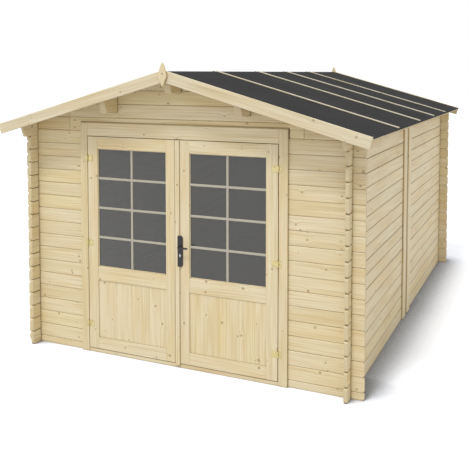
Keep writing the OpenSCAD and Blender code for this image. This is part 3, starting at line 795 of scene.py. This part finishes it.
for side in ("left", "right"):
    cad_nodes["roof_felt_" + side].data.materials.clear()
    cad_nodes["roof_felt_" + side].data.materials.append(felt)
    slope = down_slope("roof_felt_" + side)
    up = Vector((math.copysign(math.sin(PITCH), slope.x), 0, math.cos(PITCH)))
    nails = []
    for batten in loose_parts(cad_solid("felt_battens_" + side)):
        y = sum(vert.co.y for vert in batten.verts) / len(batten.verts)
        top = max(batten.verts, key=lambda vert: vert.co.z).co
        for k in range(6):
            place = Vector((top.x, y, top.z)) + slope * (0.06 + k * NAIL_STEP)
            nails.append(disc(place - up * 0.0003, up, 0.0035, 0.0012, 8))
        batten.free()
    plain_piece(f"{side}_batten_nails", nails, zinc_steel, "shed")
print(len(nails), "nails a side")

# %% [markdown]
# ## Hinges
# Each hinge is pressed from 2.5 mm steel: two plates with rounded outer corners, three knuckles
# rolled round a pin with domed ends, and countersunk screws. The frame gives the pins, the knuckle
# heights and how wide each plate is.

# %% Hinge parts
HINGE_H = 0.054
KNUCKLE_H = HINGE_H / 3
KNUCKLE_GAP = 0.0004
PLATE_T = 0.0025
PLATE_CLEAR = 0.008
CORNER = 0.008
SCREW_R = 0.0038


def rounded_plate(x0, x1, y0, y1, z0, z1, radius, round_x0, round_x1):
    """A flat plate in X and Z with rounded corners at one or both ends."""
    outline = []
    corners = (x1, z0, round_x1), (x1, z1, round_x1), (x0, z1, round_x0), (x0, z0, round_x0)
    for quarter, (x, z, rounded) in enumerate(corners):
        if not rounded:
            outline.append((x, z))
            continue
        centre_x = x - radius if x == x1 else x + radius
        centre_z = z - radius if z == z1 else z + radius
        for k in range(6):
            turn = math.radians(90 * quarter - 90 + 18 * k)
            outline.append((centre_x + radius * math.cos(turn), centre_z + radius * math.sin(turn)))
    plate = bmesh.new()
    front = [plate.verts.new((x, y0, z)) for x, z in outline]
    rear = [plate.verts.new((x, y1, z)) for x, z in outline]
    plate.faces.new(front)
    plate.faces.new(list(reversed(rear)))
    for k in range(len(outline)):
        j = (k + 1) % len(outline)
        plate.faces.new((front[j], front[k], rear[k], rear[j]))
    bmesh.ops.recalc_face_normals(plate, faces=plate.faces)
    return plate


def turned(centre, axis, profile, sides=24):
    """A turned solid. Profile points are (distance along the axis, radius, depth of four lobes)."""
    axis = axis.normalized()
    a = axis.orthogonal().normalized()
    b = axis.cross(a)
    body = bmesh.new()
    rings = []
    for along, radius, *lobes in profile:
        ring = []
        for k in range(sides):
            turn = 2 * math.pi * k / sides
            reach = radius * (1 + sum(lobes) * math.cos(4 * turn))
            out = (a * math.cos(turn) + b * math.sin(turn)) * reach
            ring.append(body.verts.new(centre + axis * along + out))
        rings.append(ring)
    for lower, upper in zip(rings, rings[1:]):
        for k in range(sides):
            j = (k + 1) % sides
            body.faces.new((lower[k], lower[j], upper[j], upper[k]))
    body.faces.new(list(reversed(rings[0])))
    body.faces.new(rings[-1])
    bmesh.ops.recalc_face_normals(body, faces=body.faces)
    return body


def screw(centre, normal, radius):
    """A screw head with a cross recess: a ring with four lobes that goes down into the head."""
    profile = [(-0.0006, radius), (0.0003, radius), (0.0006, radius * 0.86), (0.0006, radius * 0.45, 0.5)]
    return turned(centre, normal, [*profile, (-0.0004, radius * 0.3, 0.4)])


print("hinges", round(HINGE_H * 1000), "mm high, knuckles", round(KNUCKLE_H * 1000), "mm")

# %% Put the hinges on
for side in ("left", "right"):
    sign = 1 if side == "right" else -1
    leaf_low, leaf_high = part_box(f"{side}_leaf_hinges")
    frame_low, frame_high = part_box(f"{side}_frame_hinges")
    joint = next(j for j in frame["joints"] if j["name"] == f"{side}_door_hinge")
    pin_x, pin_y = joint["pos_m"][0], joint["pos_m"][1]
    back = leaf_high[1]
    face = back - PLATE_T
    radius = pin_y - leaf_low[1]
    leaf_edge = leaf_low[0] if side == "right" else leaf_high[0]
    frame_edge = frame_high[0] if side == "right" else frame_low[0]
    centres = (frame_low[2] + HINGE_H / 2, joint["pos_m"][2], frame_high[2] - HINGE_H / 2)
    leaf_parts, frame_parts, screws_leaf, screws_frame = [], [], [], []
    for z in centres:
        for parts, edge, direction, necks in (
            (leaf_parts, leaf_edge, -sign, (0,)), (frame_parts, frame_edge, sign, (-1, 1)),
        ):
            inner = pin_x + direction * PLATE_CLEAR
            x0, x1 = sorted((inner, edge))
            levels = z - HINGE_H / 2, z + HINGE_H / 2
            parts.append(rounded_plate(x0, x1, face, back, *levels, CORNER, x0 == edge, x1 == edge))
            for k in necks:
                half = (KNUCKLE_H - KNUCKLE_GAP) / 2
                centre_z = z + k * KNUCKLE_H
                nx0, nx1 = sorted((pin_x, inner + direction * 0.001))
                parts.append(plank((nx0, face, centre_z - half), (nx1, back, centre_z + half)))
                profile = [(-half, radius - 0.0006), (-half + 0.0006, radius)]
                profile += [(half - 0.0006, radius), (half, radius - 0.0006)]
                parts.append(turned(Vector((pin_x, pin_y, centre_z)), Z, profile))
        leaf_x = (leaf_edge + pin_x - sign * PLATE_CLEAR) / 2
        frame_x = (frame_edge + pin_x + sign * PLATE_CLEAR) / 2 + sign * 0.001
        for dz in (-0.016, 0.016):
            for dx in (-0.012, 0.012):
                screws_leaf.append(screw(Vector((leaf_x + dx, face - 0.0001, z + dz)), -Y, SCREW_R))
            screws_frame.append(screw(Vector((frame_x, face - 0.0001, z + dz)), -Y, SCREW_R))
    for part, parts in (("leaf", leaf_parts), ("frame", frame_parts)):
        plain_piece(f"{side}_{part}_hinge_plates", parts, yellow_steel, None,
                    f"{side}_{part}_hinges", bevel_mm=0.4)
    for part, screws, body in (("leaf", screws_leaf, f"{side}_door"), ("frame", screws_frame, "shed")):
        plain_piece(f"{side}_{part}_hinge_screws", screws, zinc_steel, body)
print("hinge centres", [round(z, 3) for z in centres])

# %% [markdown]
# ## Handle
# A long plate with round ends carries the lever above and the lock's cylinder below. A lever is bent
# from bar: it comes straight out of the plate, turns in a tight curve and runs along the door. A
# circle swept along that path gives the bend, which two crossed cylinders can't.

# %% Handle plates and cylinder
low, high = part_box("handle_plates")
lever_low, lever_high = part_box("door_lever")
lever_joint = next(j for j in frame["joints"] if j["name"] == "lever_turn")
spindle = Vector(lever_joint["pos_m"])
leaf_low, leaf_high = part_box("right_leaf_frame")
plate_r = (high[0] - low[0]) / 2
plate_x = (high[0] + low[0]) / 2


def long_plate(y_face, y_back, crown):
    """A plate with half-round ends and a softly crowned front."""
    plate = bmesh.new()
    rings = []
    section = (0.0, y_back), (0.0, y_face + crown), (0.0005, y_face + crown * 0.35), (0.002, y_face)
    for inset, y in section:
        ring = []
        for end, start in ((high[2] - plate_r, 0.0), (low[2] + plate_r, math.pi)):
            for k in range(17):
                turn = start + math.pi * k / 16
                ring.append(plate.verts.new((plate_x + (plate_r - inset) * math.cos(turn), y,
                                             end + (plate_r - inset) * math.sin(turn))))
        rings.append(ring)
    for lower, upper in zip(rings, rings[1:]):
        for k in range(len(lower)):
            j = (k + 1) % len(lower)
            plate.faces.new((lower[k], lower[j], upper[j], upper[k]))
    plate.faces.new(rings[0])
    plate.faces.new(rings[-1])
    bmesh.ops.recalc_face_normals(plate, faces=plate.faces)
    return plate


plates = [long_plate(low[1], leaf_low[1], 0.002), long_plate(high[1], leaf_high[1], -0.002)]
plain_piece("handle_long_plates", plates, black_coat, None, "handle_plates")

CYLINDER_Z = spindle.z - 0.072
cylinders, keyholes, plate_screws = [], [], []
for face, out in ((low[1], -Y), (high[1], Y)):
    for centre_z, radius in ((CYLINDER_Z, 0.0085), (CYLINDER_Z - 0.0115, 0.0048)):
        profile = [(0, radius), (0.0045, radius), (0.0052, radius - 0.0007)]
        cylinders.append(turned(Vector((plate_x, face, centre_z)) - out * 0.002, out, profile))
    keyhole = Vector((plate_x, face, CYLINDER_Z)) + out * 0.0032
    keyholes.append(turned(keyhole, out, [(-0.001, 0.0032), (0.0004, 0.0032)], 16))
    for end in (high[2] - 0.022, low[2] + 0.022):
        plate_screws.append(screw(Vector((plate_x, face, end)) + out * 0.0002, out, 0.0042))
plain_piece("lock_cylinder", cylinders, nickel, "right_door")
plain_piece("lock_keyways", keyholes, black_coat, "right_door")
plain_piece("handle_screws", plate_screws, black_coat, "right_door")
print("plates", round(plate_r * 2, 3), "wide, cylinder at", round(CYLINDER_Z, 3))


# %% Bend the lever
def swept(path, radii, sides=20):
    """A round bar along a path, with a radius at each point."""
    bar_mesh = bmesh.new()
    rings = []
    side = None
    for i, point in enumerate(path):
        ahead = (path[min(i + 1, len(path) - 1)] - path[max(i - 1, 0)]).normalized()
        side = Z.cross(ahead).normalized()
        up = ahead.cross(side)
        ring = []
        for k in range(sides):
            turn = 2 * math.pi * k / sides
            out = (side * math.cos(turn) + up * math.sin(turn)) * radii[i]
            ring.append(bar_mesh.verts.new(point + out))
        rings.append(ring)
    for lower, upper in zip(rings, rings[1:]):
        for k in range(sides):
            j = (k + 1) % sides
            bar_mesh.faces.new((lower[k], lower[j], upper[j], upper[k]))
    bar_mesh.faces.new(rings[0])
    bar_mesh.faces.new(rings[-1])
    bmesh.ops.recalc_face_normals(bar_mesh, faces=bar_mesh.faces)
    return bar_mesh


LEVER_R, BEND_R, NECK_R = 0.008, 0.012, 0.0098
levers = []
arms = (leaf_low[1], -1, lever_low[1] + LEVER_R), (leaf_high[1], 1, lever_high[1] - LEVER_R)
for face, out, arm_y in arms:
    path, radii = [], []
    for reach in (0.0004, 0.013, 0.0135, abs(arm_y - face) - BEND_R):
        path.append(Vector((spindle.x, face + out * reach, spindle.z)))
        radii.append(NECK_R if reach <= 0.013 else LEVER_R)
    for k in range(1, 9):
        turn = math.pi / 2 * k / 8
        x = spindle.x + BEND_R * (1 - math.cos(turn))
        y = arm_y - out * BEND_R * (1 - math.sin(turn))
        path.append(Vector((x, y, spindle.z)))
        radii.append(LEVER_R)
    tip = lever_high[0]
    for back_off, share in ((0.03, 1.0), (0.006, 1.0), (0.0025, 0.85), (0.0007, 0.6), (0.0, 0.25)):
        path.append(Vector((tip - back_off, arm_y, spindle.z)))
        radii.append(LEVER_R * share)
    levers.append(swept(path, radii))
plain_piece("lever_bent_bar", levers, black_coat, None, "door_lever")
print("lever out", round(leaf_low[1] - lever_low[1], 3))

# %% [markdown]
# ## Screws in the finials
# One dark wood screw holds each finial on its bargeboards, with its head just proud of the face.

# %% Finial screws
finial_screws = []
for node, out in (("front_finial", -Y), ("rear_finial", Y)):
    low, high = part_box(node)
    face = low[1] if out.y < 0 else high[1]
    finial_screws.append(screw(Vector((0, face, low[2] + 0.115)) - out * 0.0004, out, 0.0065))
plain_piece("finial_screws", finial_screws, dark_steel, "shed")
print("finial screws at", round(low[2] + 0.115, 3))

# %% [markdown]
# ## Floor of the studio and light
# The shed stands in a white studio. Even white light comes from all round. A soft key lamp, high at
# the front and a little to the left, gives the front more light and puts a shadow under the eaves and
# behind the shed, and a very wide top lamp opens the roof. Rays from the camera, and those seen in
# metal or glass, see a white world. The floor gives a little light of its own, but only to those rays,
# so it looks white and keeps the shadow. Near the walls that light would wash the shadow out, so it
# is multiplied by a contact shade: how much a point of the floor sees towards the key lamp.

# %% World and lamps
FILL = 0.86
LAMP = 1.35
TOP_LAMP = 0.4


def seen_rays(tree):
    """1 for rays from the camera, or seen in a mirror or through glass, and 0 for light."""
    path = tree.nodes.new("ShaderNodeLightPath")
    seen = add(tree, "Math", {"operation": "MAXIMUM"},
               {0: path.outputs["Is Camera Ray"], 1: path.outputs["Is Glossy Ray"]})
    return add(tree, "Math", {"operation": "MAXIMUM"}, {0: seen, 1: path.outputs["Is Transmission Ray"]})


world = bpy.data.worlds.new("studio")
bpy.context.scene.world = world
world.use_nodes = True
tree = world.node_tree
background = tree.nodes["Background"]
background.inputs["Color"].default_value = (1, 1, 1, 1)
strength = add(tree, "MapRange", None, {"Value": seen_rays(tree), "To Min": FILL, "To Max": 1.0})
tree.links.new(strength, background.inputs["Strength"])

for name, power, soft, height, left in (("key_lamp", LAMP, 12, 60, 8), ("top_lamp", TOP_LAMP, 45, 84, 60)):
    lamp_data = bpy.data.lights.new(name, "SUN")
    lamp_data.energy = power
    lamp_data.angle = math.radians(soft)
    lamp = bpy.data.objects.new(name, lamp_data)
    height, left = math.radians(height), math.radians(left)
    across = math.cos(height)
    toward = Vector((-math.sin(left) * across, -math.cos(left) * across, math.sin(height)))
    lamp.rotation_euler = toward.to_track_quat("Z", "Y").to_euler()
    bpy.context.scene.collection.objects.link(lamp)

print("top lamp from", tuple(round(c, 2) for c in toward))

# %% Studio floor
HALF_FLOOR = 60.0
FLOOR_SEEN, FLOOR_BOUNCE = "#F0F3FA", "#C8C8C8"
GLOW = 0.14
CONTACT_REACH = 0.42

floor_mesh = bpy.data.meshes.new("studio_floor")
corners = [(x * HALF_FLOOR, y * HALF_FLOOR, 0) for x, y in ((-1, -1), (1, -1), (1, 1), (-1, 1))]
floor_mesh.from_pydata(corners, [], [(0, 1, 2, 3)])
floor = bpy.data.objects.new("studio_floor", floor_mesh)
floor.location.z = -0.0005
bpy.context.scene.collection.objects.link(floor)
pale, tree, shader = start_material("pale_floor", Roughness=0.9, Specular_IOR_Level=0.0)
shader.inputs["Emission Color"].default_value = (1, 1, 1, 1)
toward_key = add(tree, "CombineXYZ", None, {0: -0.5, 1: -0.83, 2: 0.25})
aim = {"Distance": CONTACT_REACH, "Normal": toward_key}
openness = add(tree, "AmbientOcclusion", {"samples": 8}, aim, out=1)
openness = add(tree, "MapRange", None, {"Value": openness, "From Min": 0.56, "From Max": 0.9})
contact = stops(tree, openness, (0.0, "#6A675F"), (0.05, "#989AA0"), (0.5, "#E0E1E3"), (1.0, "#FFFFFF"))
seen = add(tree, "Mix", TIMES, {0: 1.0, 6: linear(FLOOR_SEEN), 7: contact}, 2)
shade = {0: seen_rays(tree), 6: linear(FLOOR_BOUNCE), 7: seen}
tree.links.new(add(tree, "Mix", {"data_type": "RGBA"}, shade, 2), shader.inputs["Base Color"])
glow = add(tree, "Math", SCALE, {0: seen_rays(tree), 1: GLOW})
grey = add(tree, "SeparateColor", None, {0: contact})
glow = add(tree, "Math", SCALE, {0: glow, 1: grey})
tree.links.new(glow, shader.inputs["Emission Strength"])
floor_mesh.materials.append(pale)

bpy.context.scene.view_settings.view_transform = "Standard"
print("floor", 2 * HALF_FLOOR, "m wide")
